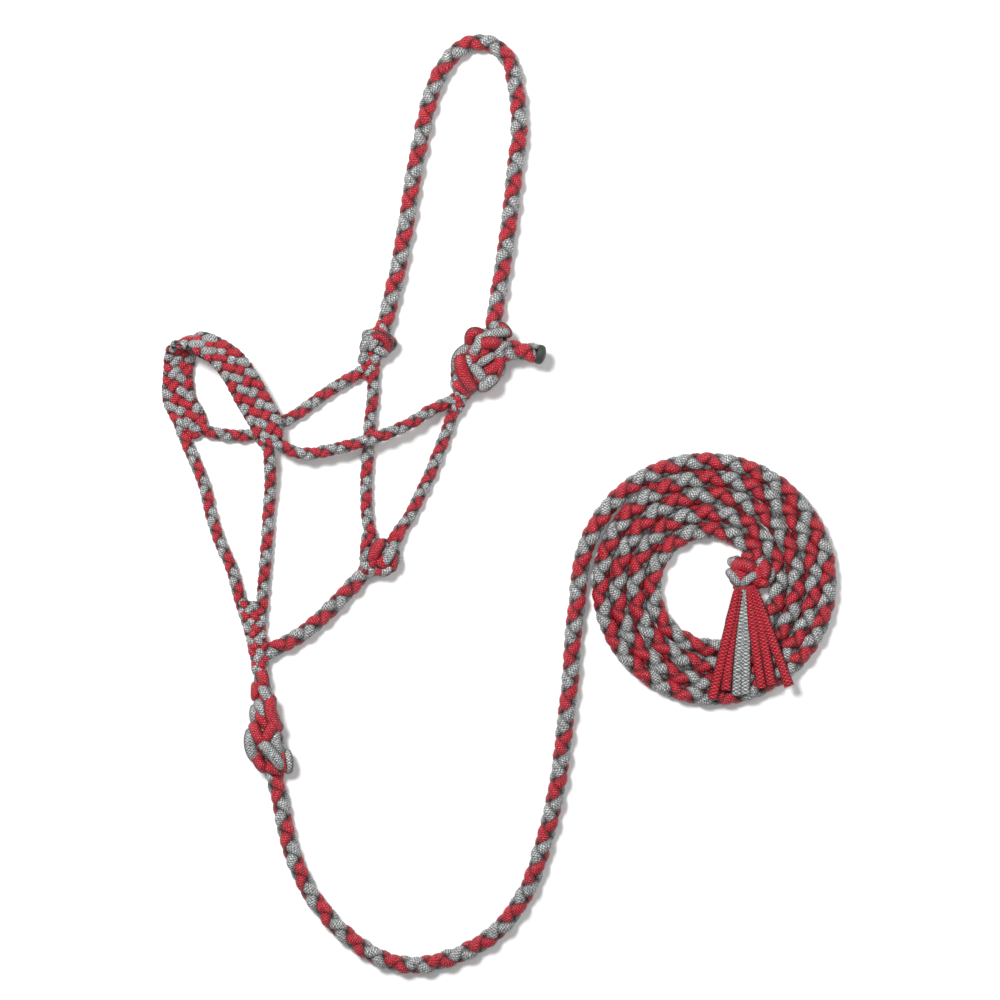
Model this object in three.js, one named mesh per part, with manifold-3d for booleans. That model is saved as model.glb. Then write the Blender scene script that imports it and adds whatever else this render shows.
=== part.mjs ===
// Rope halter with a braided noseband and a fixed, coiled lead rope, laid flat on a surface.
// Units are millimetres. +Z is up from the surface (z = 0), +X runs from the noseband towards
// the coiled lead and +Y runs from the chin towards the top of the crown loop.
// "far" straps lie on the surface; "near" straps lie over them where the two sides cross.

import * as THREE from 'three';
import { mergeVertices } from 'three/addons/utils/BufferGeometryUtils.js';
import Module from 'manifold-3d';

const wasm = await Module();
wasm.setup();

// ---- driving dimensions -------------------------------------------------------------------

const THIN_R = 6.1;          // cheek, throat and nose straps: four-strand braid, 12.2 mm
const THICK_R = 8.4;         // crown, chin strap and lead: four-strand braid, 16.8 mm
const TAIL_R = 9.4;          // the crown's free tail, loosened by the tie
const BAND_THICKNESS = 8;    // eight-strand flat braid of the noseband
const GAP = 0.4;             // clearance between touching pieces
const ROPE_SIDES = 10;
const KNOT_SEGMENTS = 16;

const HINGE_Y = -6;          // line that the noseband folds along, close above its two ends
const HINGE_GAP = 8.5;       // room for the band's cut face to turn

const COIL_CENTRE = [341, -172];
const COIL_OUTER_R = 119;
const COIL_INNER_R = 45.5;
const COIL_HEIGHT = 17;

const STRAND_COUNT = 7;
const STRAND_THICKNESS = 2.8;
const STRAND_END_WIDTH = 7.4;
const STRAND_ROOT_WIDTH = 3.1;
const STRAND_ROOT_PITCH = 3.6;

const RED = 0xb5202f;
const GREY = 0x858b88;
const BLACK = 0x2b2a2c;

// ---- solids -------------------------------------------------------------------------------

// A closed geometry as a Manifold solid.
function solidOf(geometry) {
  const bare = geometry.clone();
  bare.deleteAttribute('normal');
  bare.deleteAttribute('uv');
  const merged = mergeVertices(bare, 1e-4);
  return new wasm.Manifold(new wasm.Mesh({
    numProp: 3,
    vertProperties: new Float32Array(merged.attributes.position.array),
    triVerts: new Uint32Array(merged.index.array),
  }));
}

function geometryOf(solid) {
  const mesh = solid.getMesh();
  const geometry = new THREE.BufferGeometry();
  geometry.setAttribute('position', new THREE.BufferAttribute(mesh.vertProperties, 3));
  geometry.setIndex(new THREE.BufferAttribute(mesh.triVerts, 1));
  geometry.computeVertexNormals();
  return geometry;
}

function largestPiece(solid) {
  const pieces = solid.decompose();
  return pieces.reduce((best, piece) => (piece.volume() > best.volume() ? piece : best));
}

// What is left of a solid once room is made for its neighbours.
function clearOf(solid, neighbours) {
  const cut = neighbours.reduce((rest, other) => rest.subtract(other), solid);
  return largestPiece(cut);
}

// ---- ropes, knots and bands ---------------------------------------------------------------

function circle(radius) {
  const points = [];
  for (let i = 0; i < ROPE_SIDES; i += 1) {
    const angle = (i + 0.5) * 2 * Math.PI / ROPE_SIDES;
    points.push(new THREE.Vector2(radius * Math.cos(angle), radius * Math.sin(angle)));
  }
  return new THREE.Shape(points);
}

function ball(centre, radius) {
  const sphere = new THREE.SphereGeometry(radius, 12, 8);
  sphere.translate(...centre);
  return solidOf(sphere);
}

// A round rope along hand-placed points [x, y, z]; balls round off the ends that turn in a hinge.
function rope(points, radius, steps, balls = []) {
  const path = new THREE.CatmullRomCurve3(points.map((p) => new THREE.Vector3(...p)));
  const tube = new THREE.ExtrudeGeometry(circle(radius), { steps, extrudePath: path });
  const ends = balls.map((i) => ball(points.at(i), radius * 0.99));
  return ends.reduce((all, end) => all.add(end), solidOf(tube));
}

// A knot drawn tight: an oval dome with a flat underside at height `bottom`.
function knot({ centre, rx, ry, bottom = 0, height, turn = 0, grow = 0 }) {
  const profile = [[0, 0], [0.72, 0], [0.94, 0.2], [1, 0.45], [0.9, 0.75], [0.6, 0.95], [0, 1]];
  const tall = height + 2 * grow;
  const outline = profile.map(([r, h]) => new THREE.Vector2(r, h * tall));
  const dome = new THREE.LatheGeometry(outline, KNOT_SEGMENTS);
  dome.rotateX(Math.PI / 2);
  dome.scale(rx + grow, ry + grow, 1);
  dome.rotateZ(turn);
  dome.translate(centre[0], centre[1], bottom - grow);
  return solidOf(dome);
}

// A flat strip through pairs of edge points, [[left], [right]], with an even thickness.
function strip(stations, thickness, divisions = 1) {
  const count = (stations.length - 1) * divisions;
  const edges = [0, 1].map((side) => {
    const line = new THREE.CatmullRomCurve3(stations.map((s) => new THREE.Vector3(...s[side])));
    return Array.from({ length: count + 1 }, (_, i) => line.getPoint(i / count));
  });
  const middle = edges[0].map((left, i) => left.clone().add(edges[1][i]).multiplyScalar(0.5));
  const corners = [];
  for (let i = 0; i <= count; i += 1) {
    const along = middle[Math.min(i + 1, count)].clone().sub(middle[Math.max(i - 1, 0)]);
    const across = edges[1][i].clone().sub(edges[0][i]);
    const half = across.cross(along).normalize().multiplyScalar(thickness / 2);
    corners.push(
      edges[0][i].clone().sub(half), edges[1][i].clone().sub(half),
      edges[1][i].clone().add(half), edges[0][i].clone().add(half),
    );
  }
  const faces = [];
  for (let i = 0; i < count; i += 1) {
    for (let j = 0; j < 4; j += 1) {
      const a = 4 * i + j;
      const b = 4 * i + (j + 1) % 4;
      faces.push(a, a + 4, b, b, a + 4, b + 4);
    }
  }
  const last = 4 * count;
  faces.push(0, 1, 2, 0, 2, 3);
  faces.push(last, last + 2, last + 1, last, last + 3, last + 2);
  const geometry = new THREE.BufferGeometry().setFromPoints(corners);
  geometry.setIndex(faces);
  return solidOf(geometry);
}

// A flat plate of the given outline, as where a braid divides in two.
function plate(outline, bottom, thickness) {
  const shape = new THREE.Shape(outline.map(([x, y]) => new THREE.Vector2(x, y)));
  const slab = new THREE.ExtrudeGeometry(shape, { depth: thickness, bevelEnabled: false });
  slab.translate(0, 0, bottom);
  return solidOf(slab);
}

function slabBetween(yLow, yHigh) {
  const box = new THREE.BoxGeometry(1000, yHigh - yLow, 400);
  box.translate(0, (yLow + yHigh) / 2, 0);
  return solidOf(box);
}

// ---- the assembly -------------------------------------------------------------------------

const group = new THREE.Group();

function addPiece(name, solid, colour) {
  const material = new THREE.MeshStandardMaterial({ color: colour, roughness: 0.75, metalness: 0 });
  const mesh = new THREE.Mesh(geometryOf(solid), material);
  mesh.name = name;
  group.add(mesh);
}

// Knots of the headpiece. Each also has a grown copy that its straps are cut back from.
const knotSizes = {
  far_cheek_knot: { centre: [24, 58], rx: 14, ry: 12.5, height: 22 },
  far_cheek_neck: { centre: [20, 35], rx: 9, ry: 9, height: 15 },
  near_eye_loop: { centre: [121, 40], rx: 25, ry: 28, height: 12.6 },
  near_eye_neck: { centre: [98, 5], rx: 10, ry: 10, height: 14 },
  crown_tie_knot: { centre: [123, 42], rx: 25, ry: 29, bottom: 13.2, height: 20 },
  throat_knot: { centre: [30, -147], rx: 13, ry: 16, height: 24, turn: 0.3 },
  chin_junction: { centre: [-92, -227], rx: 13.5, ry: 17, height: 17.5 },
  lead_knot: { centre: [-78, -317], rx: 21, ry: 34.5, height: 32, turn: 0.1 },
};
const room = {};
const knotSolids = {};
for (const [name, size] of Object.entries(knotSizes)) {
  knotSolids[name] = knot(size);
  room[name] = knot({ ...size, grow: GAP });
}
knotSolids.near_eye_neck = clearOf(knotSolids.near_eye_neck, [room.near_eye_loop]);
for (const [name, solid] of Object.entries(knotSolids)) {
  addPiece(name, solid, name.startsWith('near') ? GREY : RED);
}

// Noseband: front edge and back edge, from the near end, up and over, to the far end.
const noseband = [
  [[-97, -26, 17], [-66, -12, 17]],
  [[-104, -14, 18], [-71, -2, 18]],
  [[-112, 0, 20], [-78, 11, 20]],
  [[-119, 14, 24], [-85, 24, 24]],
  [[-127, 27, 28], [-94, 38, 27]],
  [[-136, 38, 32], [-104, 49, 30]],
  [[-148, 45, 34], [-114, 56, 32]],
  [[-158, 50, 35], [-124, 61, 33]],
  [[-168, 53, 31], [-133, 64, 29]],
  [[-174, 50, 20], [-141, 64, 18]],
  [[-178, 44, 12], [-145, 57, 8]],
  [[-181, 35, 9], [-148, 44, 5]],
  [[-182, 23, 8], [-151, 31, 5]],
  [[-183, 12, 7], [-150, 19, 5]],
  [[-182, 2, 6], [-148, 7, 5]],
  [[-178, -8, 5], [-142, -3, 5]],
  [[-172, -19, 5], [-136, -15, 5]],
];
const band = strip(noseband, BAND_THICKNESS, 2);
const aboveHinge = slabBetween(HINGE_Y, HINGE_Y + 200);
const belowHinge = slabBetween(HINGE_Y - 200, HINGE_Y - HINGE_GAP);
addPiece('noseband', largestPiece(band.intersect(aboveHinge)), RED);

// Where the flat band divides into a nose strap and a cheek strap.
const stubs = band.intersect(belowHinge);
const nearPlate = plate([
  [-103, -13], [-97, -26], [-88, -42], [-85, -51], [-72, -53], [-68, -45],
  [-58, -52], [-53, -41], [-60, -26], [-67, -12],
], 13.4, BAND_THICKNESS);
const farPlate = plate([
  [-175, -13], [-170, -22], [-165, -37], [-152, -40], [-147, -33],
  [-134, -34], [-132, -21], [-138, -12],
], 0.5, BAND_THICKNESS);
const nearSide = slabBetween(HINGE_Y - 200, HINGE_Y - HINGE_GAP).intersect(solidOf(
  new THREE.BoxGeometry(70, 400, 100).translate(-85, 0, 0),
));
const nearJunction = largestPiece(stubs.intersect(nearSide).add(nearPlate).intersect(belowHinge));
const farJunction = largestPiece(stubs.subtract(nearSide).add(farPlate).intersect(belowHinge));
addPiece('near_nose_junction', nearJunction, GREY);
addPiece('far_nose_junction', farJunction, GREY);
room.near_nose_junction = nearJunction.add(plate([
  [-104, -12], [-98, -27], [-89, -42], [-86, -51.5], [-72, -53.5], [-68, -45.5],
  [-58, -52.5], [-52.5, -41], [-59, -26], [-66, -12],
], 13, BAND_THICKNESS + 0.8));
room.far_nose_junction = farJunction.add(plate([
  [-176, -12], [-170.5, -22], [-165.5, -37.5], [-152, -40.5], [-147, -33.5],
  [-134, -34.5], [-131.5, -21], [-137, -12],
], 0.1, BAND_THICKNESS + 0.8));

// Straps: hand-placed centre lines from one end to the other.
const flat = (points) => points.map(([x, y]) => [x, y, THIN_R]);
const flatThick = (points) => points.map(([x, y]) => [x, y, THICK_R]);
const straps = {
  far_cheek: {
    points: flat([[17, 37], [-1, 25], [-24, 11], [-50, -8], [-65, -17], [-83, -25],
      [-99, -30], [-116, -30], [-135, -27]]),
    radius: THIN_R, steps: 14, clear: ['far_cheek_neck', 'far_nose_junction'],
  },
  far_throat: {
    points: flat([[20, 31], [19, 5], [16, -22], [15, -43], [13, -68], [13, -94],
      [15, -116], [22, -138]]),
    radius: THIN_R, steps: 12, clear: ['far_cheek_neck', 'far_cheek', 'throat_knot'],
  },
  far_nose_drop: {
    points: flat([[-160, -32], [-151, -53], [-141, -78], [-135, -104], [-126, -132],
      [-115, -157], [-108, -183], [-101, -205], [-95, -222]]),
    radius: THIN_R, steps: 14, clear: ['far_nose_junction', 'far_cheek', 'chin_junction'],
  },
  near_nose_drop: {
    points: [[-79, -45, 17.4], [-78, -60, 15], [-78, -80, 10], [-80, -104, THIN_R],
      [-81, -124, THIN_R], [-83, -150, THIN_R], [-85, -175, THIN_R], [-87, -201, THIN_R],
      [-89, -222, THIN_R]],
    radius: THIN_R, steps: 14, clear: ['near_nose_junction', 'far_nose_drop', 'chin_junction'],
  },
  near_cheek: {
    points: [[98, 5, 7], [86, -1, 9], [74, -7, 13.5], [53, -20, 18.4], [27, -31, 19.2],
      [1, -39, 19.2], [-24, -45, 18.6], [-44, -48, 17.8], [-60, -44, 17.4]],
    radius: THIN_R, steps: 14,
    clear: ['near_eye_neck', 'near_nose_junction', 'near_nose_drop'],
  },
  near_throat: {
    points: flat([[97, -2], [91, -22], [83, -43], [73, -68], [63, -89], [53, -109],
      [42, -124], [33, -140]]),
    radius: THIN_R, steps: 12,
    clear: ['near_eye_neck', 'near_cheek', 'throat_knot', 'far_throat'],
  },
  chin_strap: {
    points: flatThick([[27, -146], [15, -157], [1, -172], [-14, -188], [-29, -203],
      [-47, -218], [-64, -228], [-83, -236]]),
    radius: THICK_R, steps: 10, clear: ['throat_knot', 'chin_junction'],
  },
  chin_neck: {
    points: flatThick([[-91, -235], [-89, -246], [-87, -258], [-85, -272], [-83, -290]]),
    radius: THICK_R, steps: 5, clear: ['chin_junction', 'chin_strap', 'lead_knot'],
  },
};
for (const [name, { points, radius, steps, clear }] of Object.entries(straps)) {
  addPiece(name, clearOf(rope(points, radius, steps), clear.map((other) => room[other])),
    name.startsWith('near') ? GREY : RED);
  room[name] = rope(points, radius + GAP, steps);
}

// Crown loop, with rounded ends that turn beside the two knots.
const CROWN = [
  [32, 80.5, 8.4], [36, 98, 8.4], [43, 127, 8.4], [48, 155, 8.4], [53, 184, 8.4],
  [57, 212, 8.4], [63, 243, 8.4], [69, 271, 8.4], [74, 292, 8.4], [80, 307, 8.4],
  [88, 322, 8.4], [97, 333, 8.4], [109, 341, 8.4], [122, 343, 8.4], [133, 341, 8.4],
  [143, 333, 8.4], [151, 321, 8.4], [154, 305, 8.4], [157, 288, 8.4], [158, 269, 8.4],
  [158, 250, 8.4], [155, 231, 8.4], [153, 211, 8.4], [151, 191, 8.4], [148, 167, 8.4],
  [145, 146, 8.4], [142, 122, 8.4], [138, 100, 10], [134, 83, 14],
];
addPiece('crown', rope(CROWN, THICK_R, 40, [0, -1]), RED);

// The crown's tail sticks out of the tie knot and ends in a melted cap.
const TAIL = [[158, 50, 20], [166, 49, 19.5], [175, 47, 19]];
const TAIL_HEADING = -0.22;
const CAP_BASE = [175.6, 46.9, 19];
addPiece('crown_tail', rope(TAIL, TAIL_R, 3, [0]), RED);
const cap = new THREE.LatheGeometry([
  new THREE.Vector2(0, 0), new THREE.Vector2(TAIL_R - 0.2, 0),
  new THREE.Vector2(TAIL_R - 1, 4), new THREE.Vector2(5, 6.5), new THREE.Vector2(0, 7),
], KNOT_SEGMENTS);
cap.rotateZ(-Math.PI / 2);
cap.rotateZ(TAIL_HEADING);
cap.translate(...CAP_BASE);
addPiece('tail_end_cap', solidOf(cap), BLACK);

// Lead rope: the stretch that runs free, then the coil as one ring of its outer shape.
const LEAD = [
  [-73, -361], [-69, -375], [-66, -393], [-61, -415], [-55, -434], [-47, -452],
  [-38, -469], [-28, -481], [-18, -494], [-6, -505], [11, -518], [29, -528], [49, -533],
  [68, -533], [85, -529], [105, -522], [120, -514], [134, -504], [147, -491], [158, -475],
  [168, -458], [175, -439], [181, -419], [187, -398], [192, -375], [197, -348],
  [200, -323], [203, -296], [206, -272], [208, -248], [209, -227], [211, -206],
  [213.5, -189],
];
addPiece('lead_run', rope(flatThick(LEAD), THICK_R, 44, [0]), RED);

const ring = new THREE.LatheGeometry([
  new THREE.Vector2(COIL_INNER_R, 0), new THREE.Vector2(COIL_OUTER_R, 0),
  new THREE.Vector2(COIL_OUTER_R, COIL_HEIGHT), new THREE.Vector2(COIL_INNER_R, COIL_HEIGHT),
  new THREE.Vector2(COIL_INNER_R, 0),
], 48);
ring.rotateX(Math.PI / 2);
ring.translate(...COIL_CENTRE, 0);
addPiece('lead_coil', solidOf(ring), RED);

// Tassel: a crown knot at the lead's end, and the seven cords unlaid from it, fanned out.
const TASSEL_KNOT = { centre: [371, -163], rx: 12, ry: 12, height: 24 };
addPiece('tassel_knot', knot(TASSEL_KNOT), GREY);
const STRAND_ROOT = [372, -177.5];
const STRAND_ENDS = [
  [341, -280], [354, -272], [364, -277], [372.5, -276], [388, -270], [397, -267], [414, -268],
];
const STRAND_COLOURS = [RED, RED, GREY, GREY, RED, RED, RED];
const STRAND_Z = COIL_HEIGHT + GAP + STRAND_THICKNESS / 2;
for (let i = 0; i < STRAND_COUNT; i += 1) {
  const rootX = STRAND_ROOT[0] + (i - (STRAND_COUNT - 1) / 2) * STRAND_ROOT_PITCH;
  const [endX, endY] = STRAND_ENDS[i];
  const root = STRAND_ROOT_WIDTH / 2;
  const end = STRAND_END_WIDTH / 2;
  const stations = [
    [[rootX - root, STRAND_ROOT[1], STRAND_Z], [rootX + root, STRAND_ROOT[1], STRAND_Z]],
    [[endX - end, endY, STRAND_Z], [endX + end, endY, STRAND_Z]],
  ];
  addPiece(`tassel_strand_${i + 1}`, strip(stations, STRAND_THICKNESS, 4), STRAND_COLOURS[i]);
}

export default group;
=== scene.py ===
import math

import bpy
import numpy as np
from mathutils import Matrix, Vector


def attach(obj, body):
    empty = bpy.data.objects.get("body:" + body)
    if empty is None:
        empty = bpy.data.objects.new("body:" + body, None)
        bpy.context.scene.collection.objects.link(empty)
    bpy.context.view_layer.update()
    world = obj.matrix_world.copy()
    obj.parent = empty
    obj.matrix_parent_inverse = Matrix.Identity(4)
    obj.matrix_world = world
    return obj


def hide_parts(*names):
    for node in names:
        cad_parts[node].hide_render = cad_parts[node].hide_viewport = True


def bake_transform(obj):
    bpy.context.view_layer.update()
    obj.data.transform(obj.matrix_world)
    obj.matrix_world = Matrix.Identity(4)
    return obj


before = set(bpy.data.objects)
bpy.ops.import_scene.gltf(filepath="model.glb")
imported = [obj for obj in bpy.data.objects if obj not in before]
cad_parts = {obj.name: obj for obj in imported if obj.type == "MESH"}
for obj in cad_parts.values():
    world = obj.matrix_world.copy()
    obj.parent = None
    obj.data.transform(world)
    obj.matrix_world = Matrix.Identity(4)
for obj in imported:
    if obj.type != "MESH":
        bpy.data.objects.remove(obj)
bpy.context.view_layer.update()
rng = np.random.default_rng(7)
MM = 0.001
RED, GREY = 0, 1

VIEW_WIDTH = 0.95        # metres seen across the floor from the camera
LENS, SENSOR = 120, 36   # mm
CORD_ROUGHNESS = 0.42
CORD_STEP = 1.0          # mm between the rings of a single cord
CORD_TIP = 0.004         # length of its rounded end, metres
LOBE_THICK = 5.2         # thickness of a cord on a knot, mm
LOBE_WRAP = 0.0095       # radius it bends round, metres
GATHER_LENGTH = 30       # mm over which a tassel cord widens from its root
BAND_STEP = 0.0012       # metres between the rings of a flat braid's cords
THIN = (13.0, 30.5)      # diameter and pitch of the thin round braid, mm
THICK = (17, 41)         # diameter and pitch of the thick round braid, mm
LEAD_DIAMETER = 0.0180
LEAD_PITCH = 0.0425
LEAD_Z = 8.4             # height of a thick braid's middle when it lies on the floor, mm


# ---------------------------------------------------------------- camera, floor and light

def look(obj, at):
    obj.rotation_euler = (Vector(at) - obj.location).to_track_quat("-Z", "Y").to_euler()


camera_data = bpy.data.cameras.new("camera")
camera_data.lens = LENS
camera_data.sensor_width = SENSOR
camera_data.clip_end = 50
camera = bpy.data.objects.new("camera", camera_data)
camera.location = (0.1401, -0.0917, VIEW_WIDTH * LENS / SENSOR + 0.009)
bpy.context.scene.collection.objects.link(camera)
bpy.context.scene.camera = camera
bpy.context.scene.view_settings.view_transform = "Standard"

world = bpy.data.worlds.new("studio")
world.use_nodes = True
world.node_tree.nodes["Background"].inputs["Color"].default_value = (1.0, 1.0, 1.0, 1)
world.node_tree.nodes["Background"].inputs["Strength"].default_value = 0.21
bpy.context.scene.world = world


def softbox(name, place, at, size, watts):
    data = bpy.data.lights.new(name, "AREA")
    data.shape = "SQUARE"
    data.size = size
    data.energy = watts
    lamp = bpy.data.objects.new(name, data)
    lamp.location = place
    bpy.context.scene.collection.objects.link(lamp)
    look(lamp, at)
    return lamp


middle = (0.1, -0.05, 0)
softbox("key", (-0.75, 0.85, 2.2), middle, 0.6, 76)
softbox("top", (0.3, -0.2, 2.8), middle, 1.0, 14)
softbox("rim", (1.6, 0.6, 1.0), middle, 0.8, 8)

floor_mesh = bpy.data.meshes.new("floor")
floor_mesh.from_pydata([(-4, -4, 0), (4, -4, 0), (4, 4, 0), (-4, 4, 0)], [], [(0, 1, 2, 3)])
floor = bpy.data.objects.new("floor", floor_mesh)
floor.location = (0, 0, -0.0005)
bpy.context.scene.collection.objects.link(floor)
floor_paint = bpy.data.materials.new("floor")
floor_paint.use_nodes = True
floor_shader = floor_paint.node_tree.nodes["Principled BSDF"]
floor_shader.inputs["Base Color"].default_value = (0.92, 0.92, 0.92, 1)
floor_shader.inputs["Roughness"].default_value = 0.9
floor_mesh.materials.append(floor_paint)


# ---------------------------------------------------------------- materials

def cord_material(name, dark, light, groove, speckle, columns=8, stitch=0.0023, depth=1.0):
    """A braided sheath: two families of yarns over and under each other in UV (metres along, turns
    around)."""
    m = bpy.data.materials.new(name)
    m.use_nodes = True
    nt = m.node_tree
    nodes, links = nt.nodes, nt.links
    shader = nodes["Principled BSDF"]

    def math_node(op, a, b=None):
        n = nodes.new("ShaderNodeMath")
        n.operation = op
        for i, x in enumerate((a, b)):
            if x is None:
                continue
            if isinstance(x, (int, float)):
                n.inputs[i].default_value = x
            else:
                links.new(x, n.inputs[i])
        return n.outputs[0]

    uv = nodes.new("ShaderNodeUVMap")
    uv.uv_map = "cord"
    split = nodes.new("ShaderNodeSeparateXYZ")
    links.new(uv.outputs["UV"], split.inputs[0])
    along = math_node("MULTIPLY", split.outputs[0], 1 / stitch)
    around = math_node("MULTIPLY", split.outputs[1], columns)
    a = math_node("ADD", around, along)
    b = math_node("SUBTRACT", around, along)
    parity = math_node("MODULO", math_node("ADD", math_node("ADD", math_node("FLOOR", a), math_node("FLOOR",
        b)), 100000), 2)
    fa, fb = math_node("FRACT", a), math_node("FRACT", b)
    ridge_a, ridge_b = math_node("SINE", math_node("MULTIPLY", fa, math.pi)), math_node("SINE",
        math_node("MULTIPLY", fb, math.pi))
    across = nodes.new("ShaderNodeMix")
    links.new(parity, across.inputs["Factor"])
    links.new(ridge_a, across.inputs["A"])
    links.new(ridge_b, across.inputs["B"])
    end = nodes.new("ShaderNodeMix")
    links.new(parity, end.inputs["Factor"])
    links.new(ridge_b, end.inputs["A"])
    links.new(ridge_a, end.inputs["B"])
    height = math_node("MULTIPLY", across.outputs["Result"], math_node("POWER", end.outputs["Result"], 0.45))

    # filaments: noise stretched along each family of yarns
    stretch = nodes.new("ShaderNodeCombineXYZ")
    turned = nodes.new("ShaderNodeMix")
    links.new(parity, turned.inputs["Factor"])
    links.new(a, turned.inputs["A"])
    links.new(b, turned.inputs["B"])
    lengthwise = nodes.new("ShaderNodeMix")
    links.new(parity, lengthwise.inputs["Factor"])
    links.new(b, lengthwise.inputs["A"])
    links.new(a, lengthwise.inputs["B"])
    links.new(math_node("MULTIPLY", turned.outputs["Result"], 4.0), stretch.inputs[0])
    links.new(math_node("MULTIPLY", lengthwise.outputs["Result"], 0.7), stretch.inputs[1])
    fibre = nodes.new("ShaderNodeTexNoise")
    fibre.inputs["Scale"].default_value = 1.0
    fibre.inputs["Detail"].default_value = 2.0
    links.new(stretch.outputs[0], fibre.inputs["Vector"])
    level = nodes.new("ShaderNodeMapRange")
    level.inputs["From Min"].default_value = 0.5 - speckle
    level.inputs["From Max"].default_value = 0.5 + speckle
    links.new(fibre.outputs[0], level.inputs["Value"])
    tone = nodes.new("ShaderNodeMix")
    tone.data_type = "RGBA"
    tone.inputs["A"].default_value = (*dark, 1)
    tone.inputs["B"].default_value = (*light, 1)
    links.new(level.outputs["Result"], tone.inputs["Factor"])
    # painted shade: where the weave's height is low, between the yarns, the base colour is darkened down to
    # the groove factor
    shade = nodes.new("ShaderNodeMapRange")
    shade.inputs["From Min"].default_value = 0.0
    shade.inputs["From Max"].default_value = 0.7
    shade.inputs["To Min"].default_value = groove
    shade.inputs["To Max"].default_value = 1.0
    links.new(height, shade.inputs["Value"])
    # painted shade: the mesh's painted_shade attribute is low in crevices, at cord sides and where cords pass
    # under, and darkens the base colour
    painted_shade = nodes.new("ShaderNodeAttribute")
    painted_shade.attribute_name = "painted_shade"
    hollow_shade = nodes.new("ShaderNodeMapRange")
    hollow_shade.inputs["From Min"].default_value = 0.1
    hollow_shade.inputs["From Max"].default_value = 0.85
    hollow_shade.inputs["To Min"].default_value = 0.03
    hollow_shade.inputs["To Max"].default_value = 1.0
    links.new(painted_shade.outputs["Fac"], hollow_shade.inputs["Value"])
    # base colour is the yarn tone times the painted groove shade and the painted crevice shade
    shaded_tone = nodes.new("ShaderNodeMix")
    shaded_tone.data_type = "RGBA"
    shaded_tone.blend_type = "MULTIPLY"
    shaded_tone.inputs["Factor"].default_value = 1.0
    links.new(tone.outputs["Result"], shaded_tone.inputs["A"])
    links.new(math_node("MULTIPLY", shade.outputs["Result"], hollow_shade.outputs["Result"]), shaded_tone.inputs["B"])
    links.new(shaded_tone.outputs["Result"], shader.inputs["Base Color"])

    bump = nodes.new("ShaderNodeBump")
    bump.inputs["Strength"].default_value = 1.0
    bump.inputs["Distance"].default_value = 0.0006 * depth
    full = math_node("ADD", height, math_node("MULTIPLY", fibre.outputs[0], 0.35))
    links.new(full, bump.inputs["Height"])
    links.new(bump.outputs["Normal"], shader.inputs["Normal"])
    shader.inputs["Roughness"].default_value = CORD_ROUGHNESS
    shader.inputs["Sheen Weight"].default_value = 0.03
    shader.inputs["Sheen Roughness"].default_value = 0.4
    shader.inputs["Specular IOR Level"].default_value = 0.5
    return m


red_cord = cord_material("red cord", (0.14, 0.0006, 0.004), (0.92, 0.026, 0.058), 0.12, 0.17)
grey_cord = cord_material("grey cord", (0.022, 0.023, 0.024), (0.78, 0.79, 0.79), 0.12, 0.16)
red_flat = cord_material("red tassel cord", (0.22, 0.001, 0.006), (0.86, 0.024, 0.054), 0.10, 0.22,
    columns=4, stitch=0.0034, depth=1.6)
grey_flat = cord_material("grey tassel cord", (0.05, 0.052, 0.053), (0.74, 0.75, 0.75), 0.10, 0.2, columns=4,
    stitch=0.0034, depth=1.6)
CORDS = [red_cord, grey_cord]


# ---------------------------------------------------------------- curves and braids

def smooth(points, step=1.6):
    """A Catmull-Rom line through points in mm, as points in metres about `step` mm apart."""
    p = np.array([list(q) + [0] * (3 - len(q)) for q in points], float)
    p = np.vstack([2 * p[0] - p[1], p, 2 * p[-1] - p[-2]])
    out = []
    for i in range(1, len(p) - 2):
        a, b, c, d = p[i - 1 : i + 3]
        ab, bc, cd = (max(np.linalg.norm(q - r), 1e-6) ** 0.5 for q, r in ((b, a), (c, b), (d, c)))
        t1, t2, t3 = ab, ab + bc, ab + bc + cd
        t = np.linspace(t1, t2, 24, endpoint=False)[:, None]
        a1 = (t1 - t) / t1 * a + t / t1 * b
        a2 = (t2 - t) / (t2 - t1) * b + (t - t1) / (t2 - t1) * c
        a3 = (t3 - t) / (t3 - t2) * c + (t - t2) / (t3 - t2) * d
        b1 = (t2 - t) / t2 * a1 + t / t2 * a2
        b2 = (t3 - t) / (t3 - t1) * a2 + (t - t1) / (t3 - t1) * a3
        out.append((t2 - t) / (t2 - t1) * b1 + (t - t1) / (t2 - t1) * b2)
    out.append(p[-2][None])
    return even(np.vstack(out) * MM, step * MM)


def even(line, step):
    gone = np.r_[0, np.cumsum(np.linalg.norm(np.diff(line, axis=0), axis=1))]
    want = np.linspace(0, gone[-1], max(4, int(round(gone[-1] / step)) + 1))
    return np.stack([np.interp(want, gone, line[:, k]) for k in range(3)], 1)


def unit(v):
    return v / np.maximum(np.linalg.norm(v, axis=-1, keepdims=True), 1e-12)


def frames(line, up=(0, 0, 1)):
    """A side and an up direction at each point, carried along the line without twist."""
    tangent = unit(np.gradient(line, axis=0))
    above = np.zeros_like(line)
    u = np.array(up, float)
    for i, t in enumerate(tangent):
        u = unit(u - t * (u @ t))
        above[i] = u
    return tangent, np.cross(tangent, above), above


def soft_noise(n, every, size):
    """A slow random wave over n samples."""
    knots = max(4, int(n / every) + 3)
    x = np.linspace(0, knots - 1, n)
    i = np.clip(x.astype(int), 0, knots - 2)
    f = x - i
    f = f * f * (3 - 2 * f)
    v = rng.normal(0, size, knots)
    return v[i] * (1 - f) + v[i + 1] * f


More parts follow.
